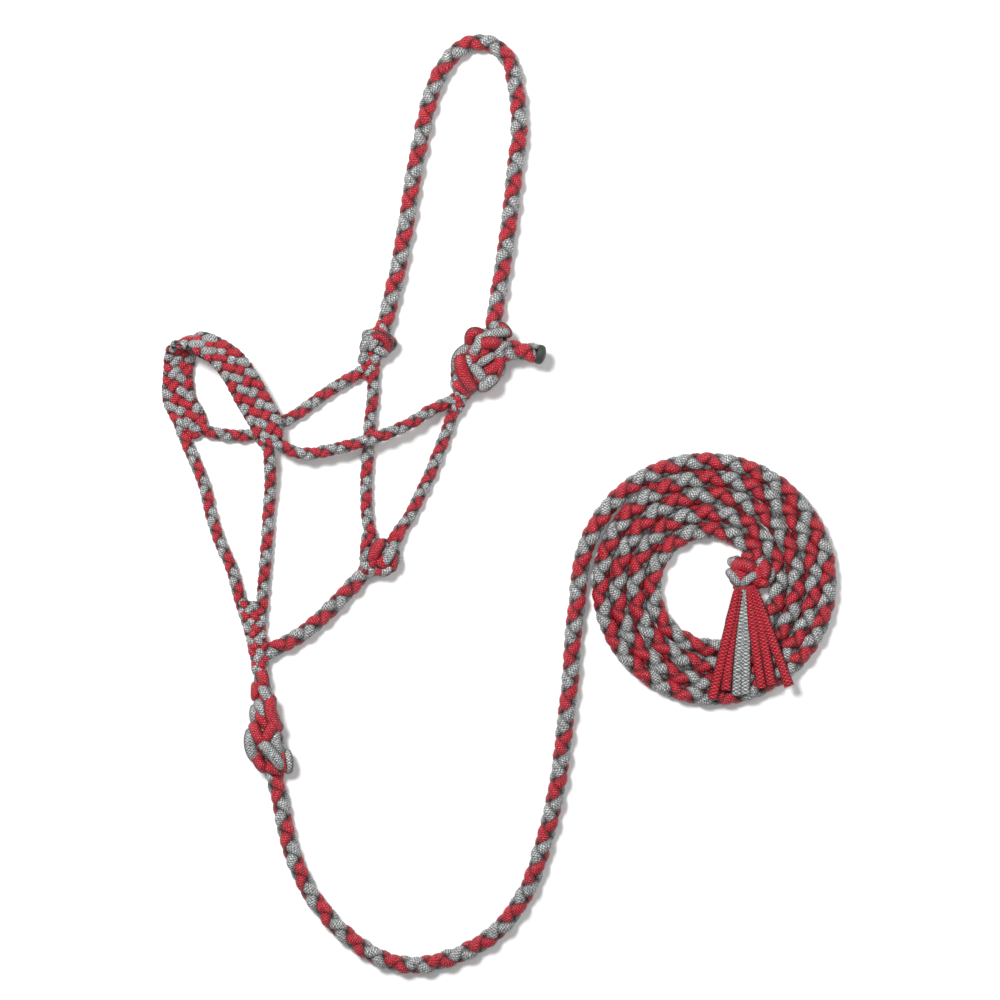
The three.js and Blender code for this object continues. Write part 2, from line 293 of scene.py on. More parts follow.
def tube(centre, outward, width, thick, wrap, sides=14, shift=0.0):
    """Rings of an oval strand. width and thick are full sizes per ring, wrap the radius that its width
    bends round."""
    tangent = unit(np.gradient(centre, axis=0))
    out = unit(outward - tangent * np.sum(outward * tangent, 1, keepdims=True))
    side = np.cross(tangent, out)
    phi = np.linspace(0, 2 * math.pi, sides, endpoint=False)
    c, s = np.cos(phi), np.sin(phi)
    flat = np.sign(c) * np.abs(c) ** 0.9
    round_ = np.sign(s) * np.abs(s) ** 0.9
    x = flat[None] * width[:, None] / 2
    y = round_[None] * thick[:, None] / 2 - x**2 / (2 * wrap[:, None])
    rings = centre[:, None] + side[:, None] * x[..., None] + out[:, None] * y[..., None]
    gone = np.r_[0, np.cumsum(np.linalg.norm(np.diff(centre, axis=0), axis=1))]
    return rings, gone + shift, phi / (2 * math.pi)


class Builder:
    """Collects strands into one mesh with a red and a grey material and a UV map of the cord's own length
    and turn."""

    def __init__(self):
        self.points, self.faces, self.slots, self.uvs, self.open, self.count = [], [], [], [], [], 0

    def strand(self, rings, along, around, colour, level=None):
        n, k = rings.shape[:2]
        base = self.count
        self.points.append(rings.reshape(-1, 3))
        # painted shade: lit darkens a cord where its level says it passes under others, edge darkens its two
        # sides where it meets its neighbours; their product is the painted shade stored on the mesh
        lit = np.ones(n) if level is None else np.clip(0.76 + 0.46 * level, 0, 1)
        edge = 1 - 0.85 * np.abs(np.cos(2 * math.pi * around)) ** 2.8
        self.open.append((lit[:, None] * edge[None]).ravel())
        index = base + np.arange(n * k).reshape(n, k)
        right = np.roll(index, -1, axis=1)
        quads = np.stack([index[:-1], right[:-1], right[1:], index[1:]], -1).reshape(-1, 4)
        v0 = np.broadcast_to(around[None], (n - 1, k))
        v1 = v0 + 1 / k
        u0 = np.broadcast_to(along[:-1, None], (n - 1, k))
        u1 = np.broadcast_to(along[1:, None], (n - 1, k))
        uv = np.stack([np.stack([u0, v0], -1), np.stack([u0, v1], -1), np.stack([u1, v1], -1),
            np.stack([u1, v0], -1)], 2).reshape(-1, 2)
        self.faces.extend(quads[:, ::-1].tolist())
        self.uvs.append(uv.reshape(-1, 4, 2)[:, ::-1].reshape(-1, 2))
        self.slots.extend([colour] * len(quads) if np.isscalar(colour) else np.repeat(colour[:-1],
            k).tolist())
        for ring, u, flip in ((index[0], along[0], False), (index[-1], along[-1], True)):
            self.faces.append((ring[::-1] if flip else ring).tolist())
            self.uvs.append(np.full((k, 2), [u, 0.0]) + np.stack([np.zeros(k), around], 1))
            self.slots.append(colour if np.isscalar(colour) else int(colour[-1] if flip else colour[0]))
        self.count += n * k

    def build(self, name, materials=None):
        mesh = bpy.data.meshes.new(name)
        mesh.from_pydata(np.vstack(self.points).tolist(), [], self.faces)
        layer = mesh.uv_layers.new(name="cord")
        layer.data.foreach_set("uv", np.vstack(self.uvs).astype(np.float32).ravel())
        mesh.attributes.new("painted_shade", "FLOAT", "POINT").data.foreach_set("value",
            np.concatenate(self.open).astype(np.float32))
        for m in materials or CORDS:
            mesh.materials.append(m)
        mesh.polygons.foreach_set("material_index", np.array(self.slots, np.int32))
        mesh.polygons.foreach_set("use_smooth", np.ones(len(self.slots), bool))
        mesh.update()
        mesh.validate()
        obj = bpy.data.objects.new(name, mesh)
        bpy.context.scene.collection.objects.link(obj)
        return obj


ROUND_COLOURS = ((1, 0, RED), (1, math.pi, GREY), (-1, 0, GREY), (-1, math.pi, RED))


def taper(n, ends, step, length=0.006):
    """1 along a strand, down to a rounded tip at the ends asked for."""
    s = np.arange(n) * step
    t = np.ones(n)
    if ends[0]:
        t *= np.sqrt(np.clip(1 - (1 - np.clip(s / length, 0, 1)) ** 2, 0.02, 1))
    if ends[1]:
        t *= np.sqrt(np.clip(1 - (1 - np.clip((s[-1] - s) / length, 0, 1)) ** 2, 0.02, 1))
    return t


def round_braid(builder, line, diameter, pitch, twist=0.8, ends=(False, False), wander=0.2, up=(0, 0, 1),
    sides=14, start=0.0, colours=ROUND_COLOURS):
    """Four cords braided round the line (metres): two turn each way, over one and under one."""
    tangent, side, above = frames(line, up)
    n = len(line)
    step = np.linalg.norm(line[1] - line[0])
    s = np.arange(n) * step
    turn = 2 * math.pi * (s + start) / pitch
    roll = twist + soft_noise(n, 0.06 / step, wander)
    close = taper(n, ends, step)
    for way, phase, colour in colours:
        angle = way * turn + phase
        over = -way * np.cos(2 * angle)
        lumps = 1 + soft_noise(n, 0.012 / step, 0.03)
        radius = diameter * (0.282 + 0.082 * over) * close
        around = angle + roll
        outward = np.cos(around)[:, None] * side + np.sin(around)[:, None] * above
        centre = line + outward * radius[:, None]
        width = diameter * (0.635 + 0.06 * over) * lumps * close
        thick = diameter * (0.275 + 0.035 * over) * lumps * close
        wrap = np.full(n, diameter * 0.46)
        rings, along, round_ = tube(centre, outward, width, thick, wrap, sides, rng.uniform(0, 5))
        # painted shade: over goes in as the level, so each cord is painted darker where it passes under
        builder.strand(rings, along, round_, colour, over)


def lobes(builder, rows, dive=8.0):
    """Single cords showing on a knot: each goes from (x, y) over the top at height z to (x, y).

    Its ends dip under the others."""
    for x0, y0, x1, y1, z, width, colour, bow in rows:
        a, b = np.array([x0, y0, 0.0]), np.array([x1, y1, 0.0])
        way = (b - a) / np.linalg.norm(b - a)
        off = np.array([-way[1], way[0], 0.0]) * bow

        def at(f, h):
            return (a + (b - a) * f + off * (1 - (2 * f - 1) ** 2) + np.array([0, 0, h])).tolist()

        low, shoulder, crest = z - dive, z - 0.55 * dive, z - 0.12 * dive
        route = [
            at(-0.10, low), at(0.06, shoulder), at(0.25, crest), at(0.5, z),
            at(0.75, crest), at(0.94, shoulder), at(1.10, low),
        ]
        single_cord(builder, route, width, LOBE_THICK, colour, wrap=LOBE_WRAP, deep=True)


def single_cord(builder, points, width, thick, colour, ends=(True, True), wrap=0.02, deep=False, gather=1.0):
    line = smooth(points, CORD_STEP)
    above = frames(line)[2]
    n = len(line)
    close = taper(n, ends, CORD_STEP * MM, CORD_TIP)
    lumps = 1 + soft_noise(n, 12, 0.02)
    width = width * (gather + (1 - gather) * np.clip(np.arange(n) * CORD_STEP / GATHER_LENGTH, 0, 1) ** 0.7)
    # painted shade: with deep, level runs from -1 at the ends to 1.6 mid-way, so the cord's ends are painted
    # darker where they dive under others
    level = np.sin(np.linspace(0, math.pi, n)) * 2.6 - 1 if deep else None
    rings, along, around = tube(line, above, width * MM * lumps * close, thick * MM * lumps * close,
        np.full(n, wrap), 18, rng.uniform(0, 5))
    builder.strand(rings, along, around, colour, level)


def braid_piece(name, points, diameter, pitch, **options):
    builder = Builder()
    round_braid(builder, smooth(points), diameter * MM, pitch * MM, **options)
    return builder.build(name)


# ---------------------------------------------------------------- the lead, first

COIL_CENTRE = (341, -172)
COIL_RADIUS = 105.5      # of the second turn's start, mm
COIL_ENTRY = 20.9        # how much wider the coil starts, mm
COIL_PITCH = 16.6        # how much each later turn is smaller, mm
TURN_POINTS = 24
COIL_POINTS = 105
lead_points = [
    (-73.5, -352, 8.4), (-73, -361, 8.4), (-69, -375, 8.4), (-66, -393, 8.4), (-61, -415, 8.4),
    (-55, -434, 8.4), (-47, -452, 8.4),
    (-38, -469, 8.4), (-28, -481, 8.4), (-18, -494, 8.4), (-6, -505, 8.4), (11, -518, 8.4), (29, -528, 8.4),
    (49, -533, 8.4), (68, -533, 8.4), (85, -529, 8.4), (105, -522, 8.4), (120, -514, 8.4), (134, -504, 8.4),
    (147, -491, 8.4), (158, -475, 8.4), (168, -458, 8.4), (175, -439, 8.4), (181, -419, 8.4),
    (187, -398, 8.4),
    (192, -375, 8.4), (197, -348, 8.4), (200, -323, 8.4), (203, -296, 8.4), (206, -272, 8.4),
    (208, -248, 8.4),
    (209, -227, 8.4), (211, -206, 8.4), (213.5, -189, 8.4),
]
for i in range(COIL_POINTS):
    turns = i / TURN_POINTS
    r = COIL_RADIUS + COIL_ENTRY * (1 - turns) ** 2 if turns < 1 else COIL_RADIUS - COIL_PITCH * (turns - 1)
    angle = math.pi - 2 * math.pi * turns
    lead_points.append((COIL_CENTRE[0] + r * math.cos(angle), COIL_CENTRE[1] + r * math.sin(angle), LEAD_Z))
lead_points += [(378, -136, 8.8), (385.5, -143, 9.5), (386, -152, 11), (379, -158, 13), (371, -162, 14)]
lead_line = smooth(lead_points, 2.0)
lead_builder = Builder()
round_braid(lead_builder, lead_line, LEAD_DIAMETER, LEAD_PITCH)
lead = lead_builder.build("lead_rope")
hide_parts("lead_run", "lead_coil")
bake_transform(lead)

# ---------------------------------------------------------------- the straps

straps = {
    "far_cheek": ([(24, 50, 8), (17, 37, 6.1), (-1, 25, 6.1), (-24, 11, 6.1), (-50, -8, 6.1),
    (-65, -17, 6.1), (-83, -25, 6.1), (-99, -30, 6.1),
                   (-116, -30, 6.1), (-135, -27, 6.1), (-150, -22, 6.1)], *THIN),
    "far_throat": ([(21, 48, 6.1), (20, 31, 6.1), (19, 5, 6.1), (16, -22, 6.1), (15, -43, 6.1),
    (13, -68, 6.1), (13, -94, 6.1), (15, -116, 6.1),
                    (22, -138, 6.1), (25, -145, 6.1)], *THIN),
    "far_nose_drop": ([(-166, -16, 6.1), (-160, -32, 6.1), (-151, -53, 6.1), (-141, -78, 6.1),
    (-135, -104, 6.1), (-126, -132, 6.1), (-115, -157, 6.1),
                       (-108, -183, 6.1), (-101, -205, 6.1), (-95, -222, 6.1), (-93, -228, 6.1)], *THIN),
    "near_nose_drop": ([(-82, -33, 17.5), (-79, -45, 17.4), (-78, -60, 15), (-78, -80, 10), (-80, -104, 6.1),
    (-81, -124, 6.1), (-83, -150, 6.1),
                        (-85, -175, 6.1), (-87, -201, 6.1), (-89, -222, 6.1), (-90, -230, 6.1)], *THIN),
    "near_cheek": ([(104, 12, 7), (98, 5, 7), (86, -1, 9), (74, -7, 13.5), (53, -20, 18.4), (27, -31, 19.2),
    (1, -39, 19.2), (-24, -45, 18.6),
                    (-44, -48, 17.8), (-60, -44, 17.4), (-76, -34, 17.4)], *THIN),
    "near_throat": ([(98, 3, 6.1), (97, -2, 6.1), (91, -22, 6.1), (83, -43, 6.1), (73, -68, 6.1),
    (63, -89, 6.1), (53, -109, 6.1), (42, -124, 6.1),
                     (33, -140, 6.1), (30, -146, 6.1)], *THIN),
    "chin_strap": ([(32, -140, 8.4), (27, -146, 8.4), (15, -157, 8.4), (1, -172, 8.4), (-14, -188, 8.4),
    (-29, -203, 8.4), (-47, -218, 8.4), (-64, -228, 8),
                    (-77, -234, 7), (-86, -237, 5.8)], *THICK),
    "chin_neck": ([(-92, -225, 6), (-91, -235, 6.4), (-89, -246, 7.4), (-87, -258, 8.4), (-85, -272, 8.4),
    (-83, -290, 8.4), (-82, -300, 8.4)], *THICK),
}
for name, (points, diameter, pitch) in straps.items():
    strap = braid_piece(name + "_braid", points, diameter, pitch, start=rng.uniform(0, 0.03))
    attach(strap, "headpiece")
    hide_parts(name)

crown_points = [
    (26, 62, 9), (32, 80.5, 8.4), (36, 98, 8.4), (43, 127, 8.4), (48, 155, 8.4), (53, 184, 8.4),
    (57, 212, 8.4), (63, 243, 8.4), (69, 271, 8.4),
    (74, 292, 8.4), (80, 307, 8.4), (88, 322, 8.4), (97, 333, 8.4), (109, 341, 8.4), (122, 343, 8.4),
    (133, 341, 8.4), (143, 333, 8.4), (151, 321, 8.4),
    (154, 305, 8.4), (157, 288, 8.4), (158, 269, 8.4), (158, 250, 8.4), (155, 231, 8.4), (153, 211, 8.4),
    (151, 191, 8.4), (148, 167, 8.4),
    (145, 146, 8.4), (141.5, 122, 8.4), (138.5, 105, 8.4), (136.2, 90, 9), (134.3, 77, 12),
    (132.6, 67.7, 16), (129.6, 57.6, 18), (121.6, 49.2, 18),
    (113.5, 44.5, 17), (107.9, 38.7, 17), (108.3, 29.8, 17), (113.2, 22.3, 16), (120.9, 19.2, 12),
    (128.6, 20.1, 8.5),
    (134.3, 26.9, 8.5), (138.3, 35.8, 9), (140.6, 44.2, 13), (147, 49.2, 18),
]
crown = braid_piece("crown_braid", crown_points, 17.4, 41)
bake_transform(crown)
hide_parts("crown", "crown_tie_knot")

# ---------------------------------------------------------------- flat braids

def resample(rows, n):
    return np.stack([np.interp(np.linspace(0, len(rows) - 1, n), np.arange(len(rows)),
        rows[:, k]) for k in range(rows.shape[1])], 1)


def stadium(c, half, rim):
    """Place and outward direction at turn c round a flat oval with straight sides 2 * half long and round
    ends."""
    arc = math.pi * rim
    d = (c % 1.0) * (4 * half + 2 * arc) - arc / 2
    first, second = d < 2 * half, (d >= 2 * half) & (d < 2 * half + arc)
    third, last = (d >= 2 * half + arc) & (d < 4 * half + arc), (d < 0) | (d >= 4 * half + arc)
    x, y, nx, ny = (np.zeros_like(d) for _ in range(4))
    x, y, ny = np.where(first, -half + d, x), np.where(first, rim, y), np.where(first, 1.0, ny)
    turn = (d - 2 * half) / rim
    x, y = np.where(second, half + rim * np.sin(turn), x), np.where(second, rim * np.cos(turn), y)
    nx, ny = np.where(second, np.sin(turn), nx), np.where(second, np.cos(turn), ny)
    x, y, ny = np.where(third, half - (d - 2 * half - arc), x), np.where(third, -rim, y), np.where(third,
        -1.0, ny)
    turn = np.where(d < 0, d / rim, (d - 4 * half - 2 * arc) / rim)
    x, y = np.where(last, -half + rim * np.sin(turn), x), np.where(last, rim * np.cos(turn), y)
    nx, ny = np.where(last, np.sin(turn), nx), np.where(last, np.cos(turn), ny)
    return x, y, nx, ny


def flat_braid(builder, front, back, pitch, thickness, cord, start=0.0, ends=(False, False), painted_shadow=None):
    """Eight cords braided round and pressed flat between two edge lines (mm): four turn each way, over
    one and under one."""
    front, back = resample(smooth(front, 1.0), 500), resample(smooth(back, 1.0), 500)
    middle = (front + back) / 2
    gone = np.r_[0, np.cumsum(np.linalg.norm(np.diff(middle, axis=0), axis=1))]
    n = int(gone[-1] / BAND_STEP)
    s = np.linspace(0, gone[-1], n)

    def at(rows):
        return np.stack([np.interp(s, gone, rows[:, k]) for k in range(3)], 1)

    across = back - front
    normal = unit(np.cross(across, unit(np.gradient(middle, axis=0))))
    if normal[5, 2] < 0:
        normal = -normal
    middle, across, normal = at(middle), at(across), unit(at(normal))
    wide, across = np.linalg.norm(across, axis=1), unit(across)
    close = taper(n, ends, BAND_STEP, 0.008)
    cord_thick = thickness * 0.36
    lift = thickness * 0.15
    rim = thickness / 2 - lift - cord_thick / 2
    half = (wide / 2 - rim - lift - cord_thick / 2) * (0.25 + 0.75 * close)
    # painted shadow: where the painted_shadow profile is below 1, inside drops and the cords are painted
    # darker, most on the band's upper face; level also paints them darker where they pass under
    inside = np.ones(n) if painted_shadow is None else np.interp(s / s[-1], *painted_shadow)
    rings, along, around = tube(middle, normal, 2 * half + rim * 1.2 * close, 1.7 * rim * close,
        np.full(n, 10.0), 12)
    # painted shade: the grey core goes in at level -1.4, so it is painted nearly black where it shows between
    # the cords
    builder.strand(rings, along, around, GREY, np.full(n, -1.4))
    for k in range(8):
        way = 1 if k < 4 else -1
        c = way * (s + start) / pitch + (k % 4) / 4 + (0 if k < 4 else 1 / 8)
        level = way * np.cos(8 * math.pi * (c - 1 / 16))
        x, y, nx, ny = stadium(c, half, rim)
        outward = across * nx[:, None] + normal * ny[:, None]
        lumps = 1 + soft_noise(n, 9, 0.03)
        centre = middle + across * x[:, None] + normal * y[:,
            None] + outward * (level * lift * close + soft_noise(n, 14, 0.00015))[:, None]
        width = cord * (0.93 + 0.09 * level) * lumps * close
        thick = cord_thick * (1.0 + 0.16 * level) * lumps * close
        rings, along, around = tube(centre, outward, width, thick, np.full(n, 0.0075), 14, rng.uniform(0, 5))
        nub = 2 * np.round((8 * (c - 1 / 16) - (way < 0)) / 2) + (way < 0)
        row = 4 * (way * ((1 / 16 + nub / 8) - (k % 4) / 4 - (way < 0) / 8) - 1 / 16)
        colour = np.where(np.round(1.5 * nub + row).astype(int) % 4 < 2, RED, GREY)
        facing = np.clip(0.5 + ny, 0, 1)
        builder.strand(rings, along, around, colour, level * inside - 1.2 * (1 - inside) * facing)


# ---------------------------------------------------------------- the noseband

band = np.array([
    [-91, -43, 17, -64, -36, 17], [-94, -34, 17.3, -64, -23, 17.2],
    [-97, -26, 17.5, -66, -12, 17.5], [-104, -14, 18, -71, -2, 18], [-112, 0, 20, -78, 11, 20],
    [-119, 14, 24, -85, 24, 24],
    [-127, 27, 28, -94, 38, 27], [-136, 38, 32, -104, 49, 30], [-148, 45, 34, -114, 56, 32],
    [-158, 50, 35, -124, 61, 33],
    [-167.5, 53.5, 32, -133, 64, 30], [-175, 51, 23, -141, 64, 20], [-179.5, 44.5, 14, -146.5, 56, 10],
    [-181, 35, 9, -148, 44, 5],
    [-182, 23, 8, -151, 31, 5], [-183, 12, 7, -150, 19, 5], [-182, 2, 6, -148, 7, 5],
    [-178, -8, 5, -142, -3, 5],
    [-172, -19, 5, -137, -15, 5], [-167, -28, 5, -141, -24, 5], [-163, -36, 5, -146, -32, 5],
], float)
band_builder = Builder()
# painted shadow on the noseband's left limb, from 0.52 to 0.95 of its length
flat_braid(band_builder, band[:, :3].tolist(), band[:, 3:].tolist(), 0.050, 0.0098, 0.0098, ends=(True, True),
           painted_shadow=([0, 0.52, 0.6, 0.8, 0.95], [1, 1, 0.45, 0.6, 1]))
noseband = band_builder.build("noseband_braid")
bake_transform(noseband)
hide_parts("noseband", "near_nose_junction", "far_nose_junction")

# ---------------------------------------------------------------- knots and junctions

def riding(obj, body, slot_name, *nodes):
    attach(obj, body)
    if nodes:
        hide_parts(*nodes)
    return obj


riding(braid_piece("eye_loop_braid", [
    (93, -3, 7.5), (102, 5.2, 8), (98.9, 17.6, 8), (98.6, 30.7, 9), (101.8, 42.8, 11), (108.1, 51.5, 13),
    (115.4, 59.2, 15), (122, 64.5, 16),
    (131, 64, 18), (138.5, 62.5, 17), (142.5, 57.5, 13), (141.6, 52.6, 10), (136.9, 47.6, 9),
    (129.6, 41.6, 9),
    (121.6, 28.5, 10), (113.7, 16.9, 7), (106.4, 8.1, 8), (97, 0, 8),
], 12.6, 34, twist=0.6), "headpiece", "strap_braid", "near_eye_loop")
tie = Builder()
lobes(tie, [
    (111.5, 57, 123, 65, 24, 10.5, RED, 6), (121.5, 64, 112.5, 46, 26.5, 10.5, GREY, 2),
    (112, 53, 98.5, 33, 22, 9.5, GREY, -5), (112.5, 38, 122.5, 49.5, 23, 9.5, RED, 1),
    (121.5, 53.5, 139, 55.5, 29, 13.5, RED, 2), (125.5, 62.5, 147, 67, 27.5, 10, GREY, 1.5),
    (139, 73, 147.5, 64, 21, 9.5, RED, 2), (142, 55, 141.5, 47, 23, 8.5, RED, 1),
    (119, 36, 134, 46, 23, 9, GREY, 0), (124.5, 29, 139, 38, 22, 11, RED, -1),
    (138.5, 47, 136, 27, 20, 9.5, RED, 2.5),
    (113.5, 34.5, 124.5, 21.5, 25, 11, GREY, 1), (121.5, 15.5, 134, 25.5, 23.5, 12.5, GREY, -1.5),
    (102.5, 44, 114.5, 14, 29, 13.5, RED, -3), (97.5, 19, 111, 9, 18, 10.5, RED, 0),
])
riding(tie.build("tie_knot_cords"), "headpiece", "strap_braid")

neck_builder = Builder()
flat_braid(neck_builder, [(90, -8, 9), (94, 3, 9.5), (99, 14, 10), (103, 22, 10)],
    [(103, -12, 9), (107, -2, 9.5), (113, 7, 10), (119, 15, 10)],
           0.036, 0.014, 0.0064, start=0.01, ends=(True, True))
riding(neck_builder.build("near_eye_neck_braid"), "headpiece", "strap_braid", "near_eye_neck")

cheek_knot = braid_piece("far_cheek_knot_braid", [
    (29.7, 80, 8.6), (28.2, 73.7, 10), (23.0, 67.0, 15), (15.8, 59.8, 17), (12.7, 53.6, 12),
    (19.4, 50.5, 6.5), (31.3, 51.5, 9), (37.5, 57.2, 12),
    (31.3, 63.9, 17), (21.5, 66.5, 15), (13.7, 64.5, 10), (19.4, 55.2, 6), (19.4, 47.9, 8), (17.3, 41.2, 9),
], 11.5, 33, twist=0.8)
riding(cheek_knot, "headpiece", "strap_braid", "far_cheek_knot")
cheek = Builder()
single_cord(cheek, [(18, 55.5, 10), (20, 61, 17.5), (26.5, 63, 22), (32.5, 58.5, 21), (33.5, 53, 16),
    (29.5, 49.5, 9)], 11, 6.5, RED, wrap=0.0095, deep=True)
lobes(cheek, [
    (11, 50.5, 19, 62.5, 20.5, 9.5, GREY, 1.5), (17, 52, 23, 61.5, 21, 8, GREY, -1),
    (21, 53.5, 32.5, 47.5, 19.5, 9, GREY, -1), (12, 61, 21, 67.5, 15.5, 8, GREY, 1.5),
    (8.5, 39, 14.5, 48.5, 14, 8.5, GREY, 1), (19, 39, 25, 49, 14.5, 9, GREY, -1),
    (9.5, 51, 13, 47, 12, 7, RED, 0), (26.5, 74, 30.5, 65, 17, 9, GREY, 1),
])
riding(cheek.build("cheek_knot_cords"), "headpiece", "strap_braid")

far_neck = Builder()
flat_braid(far_neck, [(13, 52, 9), (9, 42, 8.5), (7, 30, 8), (9, 22, 7)],
    [(27, 52, 9), (27, 42, 8.5), (26, 30, 8), (25, 22, 7)],
           0.036, 0.012, 0.0064, start=0.02, ends=(True, True))
riding(far_neck.build("far_cheek_neck_braid"), "headpiece", "strap_braid", "far_cheek_neck")

throat = Builder()
for route, size, twist in (
    ([(47.7, -118.3, 6.3), (42.2, -128.9, 8), (37.1, -137.0, 13), (31.6, -144.6, 16), (24.8, -152.2, 15),
    (18.0, -157.3, 11), (11.6, -161.6, 9)], 12.2, 0.3),
    ([(16, -120, 6.2), (13.3, -130, 6.6), (12, -138.9, 8), (14.4, -148.4, 12), (14.3, -155.9, 14),
    (9.6, -161.6, 10)], 12.2, 1.2),
    ([(24, -160, 7), (20.4, -156.5, 12), (19.8, -148.8, 18), (22.4, -141.2, 19), (26.6, -134.8, 16),
    (32.6, -133.4, 11), (38.8, -139.5, 10), (40.9, -147.1, 10),
      (37.5, -154.8, 9), (29.9, -159.4, 8), (21.4, -158.5, 8)], 11.5, 2.0),
):
    round_braid(throat, smooth(route), size * MM, 0.0305, twist=twist, ends=(True, True))
lobes(throat, [
    (19.5, -149, 28, -131.5, 24, 12, RED, 1.5), (21, -147, 33, -155, 19.5, 9.5, RED, 0),
    (10, -149, 18, -140, 19, 8.5, GREY, 1), (9.5, -151, 20, -161.5, 17, 10.5, GREY, 1),
    (29.5, -151, 37, -137.5, 21.5, 10.5, GREY, -1.5), (39.5, -142, 38, -156, 17, 8, RED, 1),
    (28, -161, 35.5, -154, 16, 9, GREY, -1), (20, -159.5, 29, -159.5, 15, 8, RED, 0),
], dive=7.0)
riding(throat.build("throat_knot_braid"), "headpiece", "strap_braid", "throat_knot")

junction = Builder()
flat_braid(junction, [(-112, -186, 7.5), (-107, -200, 8), (-104.5, -214, 8.6), (-101, -228, 9),
    (-98, -242, 9), (-95, -256, 9)],
           [(-82, -190, 7.5), (-83, -203, 8), (-82, -215, 8.6), (-80, -228, 9), (-79, -242, 9),
           (-78, -256, 9)],
           0.046, 0.0145, 0.0082, start=0.0, ends=(True, True))
riding(junction.build("chin_junction_braid"), "headpiece", "strap_braid", "chin_junction")

lead_knot = braid_piece("lead_knot_braid", [
    (-85.4, -262, 8.6), (-83.3, -277.8, 10), (-78.7, -291.2, 14), (-74.5, -305.6, 15), (-72.4, -319.1, 12),
    (-76.2, -329.5, 8.5),
    (-85.5, -331.6, 9), (-91.3, -323.3, 12), (-90.2, -313.8, 15), (-83.4, -313.8, 16), (-77.2, -324.3, 16.5),
    (-71.0, -335.6, 15), (-66.7, -340.7, 12),
    (-67.9, -335.4, 8.5), (-73.1, -342.7, 8.5), (-73.1, -356.0, 8.4),
], 15.6, 41, twist=0.4, ends=(True, True))
riding(lead_knot, "headpiece", "thick_braid", "lead_knot")
ring = Builder()
lobes(ring, [
    (-87, -254, -84, -268, 17.5, 11, RED, 1), (-86.5, -269, -78, -285, 19.5, 10.5, GREY, 1),
    (-90, -283, -81.5, -301, 20, 10.5, GREY, 1), (-92, -266, -92.5, -281, 14, 8.5, RED, 0),
    (-77.5, -279, -70, -309, 24, 12.5, RED, -2.5), (-94, -304, -85, -323, 25.5, 11, RED, 0),
    (-74, -302, -83, -321, 26, 11, RED, 0), (-95.5, -311, -91, -337, 21, 11.5, GREY, -3),
    (-87, -320, -67, -344, 27, 12, GREY, 1.5), (-73, -310, -68, -331, 23, 11, GREY, -1.5),
    (-68, -332, -65, -348, 21.5, 9.5, RED, 0), (-63.5, -331, -62, -349, 18, 10, GREY, 2),
    (-91.5, -331, -82, -347, 19, 11.5, RED, -1.5), (-83, -343, -68, -350, 17, 11.5, RED, 0),
    (-90, -294, -80, -310, 20.5, 11, RED, 1), (-93, -288, -92, -304, 15, 8.5, GREY, -1),
])
riding(ring.build("lead_knot_cords"), "headpiece", "thick_braid")

# ---------------------------------------------------------------- the crown's tail

tail = Builder()
round_braid(tail, smooth([(141.6, 45.2, 14), (146.6, 50.5, 18), (154.2, 50.2, 19.5), (161.6, 48.8, 19.5),
    (168.6, 48.3, 19.3), (174.9, 47.0, 19)]), 0.0198, 0.036, start=0.0215, wander=0.0)
tail = tail.build("crown_tail_braid")
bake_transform(tail)
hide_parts("crown_tail")


def lathe_along(builder, start, end, radii, colour, lumps=0.0):
    """Rings of the radii given, evenly from start to end (mm), as a cap or a bead."""
    start, end = np.array(start, float) * MM, np.array(end, float) * MM
    line = start + (end - start) * np.linspace(0, 1, len(radii))[:, None]
    _, side, above = frames(line)
    phi = np.linspace(0, 2 * math.pi, 36, endpoint=False)
    shape = 1 + lumps * (np.sin(3 * phi + 1) + 0.6 * np.sin(5 * phi) + 0.5 * np.cos(2 * phi))
    r = np.array(radii)[:, None] * MM * shape[None]
    rings = line[:, None] + side[:, None] * (r * np.cos(phi))[..., None] + above[:,
        None] * (r * np.sin(phi))[..., None]
    builder.strand(rings, np.linspace(0, 0.02, len(radii)), phi / (2 * math.pi), colour)


melted = bpy.data.materials.new("melted end")
melted.use_nodes = True
melted_shader = melted.node_tree.nodes["Principled BSDF"]
melted_noise = melted.node_tree.nodes.new("ShaderNodeTexNoise")
melted_noise.inputs["Scale"].default_value = 420
melted_noise.inputs["Detail"].default_value = 3
melted_ramp = melted.node_tree.nodes.new("ShaderNodeMix")
melted_ramp.data_type = "RGBA"
melted_ramp.inputs["A"].default_value = (0.004, 0.005, 0.004, 1)
melted_ramp.inputs["B"].default_value = (0.055, 0.060, 0.050, 1)
melted_bump = melted.node_tree.nodes.new("ShaderNodeBump")
melted_bump.inputs["Strength"].default_value = 0.5
melted_bump.inputs["Distance"].default_value = 0.0006
melted.node_tree.links.new(melted_noise.outputs[0], melted_ramp.inputs["Factor"])
melted.node_tree.links.new(melted_ramp.outputs["Result"], melted_shader.inputs["Base Color"])
melted.node_tree.links.new(melted_noise.outputs[0], melted_bump.inputs["Height"])
melted.node_tree.links.new(melted_bump.outputs["Normal"], melted_shader.inputs["Normal"])
melted_shader.inputs["Roughness"].default_value = 0.55

CAP_RINGS = 25
CAP_STRAIGHT = 8         # rings before the end rounds off
CAP_RADIUS = 9.2


def cap_radius(i):
    """Radius of ring i (mm): a short collar, then a rounded end."""
    if i < CAP_STRAIGHT:
        return 8.9 + 0.3 * min(1, i / 4)
    return CAP_RADIUS * max(0.03, 1 - ((i - CAP_STRAIGHT) / 16) ** 2.6) ** 0.5


cap = Builder()
cap_radii = [cap_radius(i) for i in range(CAP_RINGS)]
lathe_along(cap, (175.2, 46.9, 19), (183.4, 44.9, 19), cap_radii, 0, 0.025)
riding(cap.build("melted_end_cap", [melted]), "crown_tail", "melted_end", "tail_end_cap")

# ---------------------------------------------------------------- the tassel

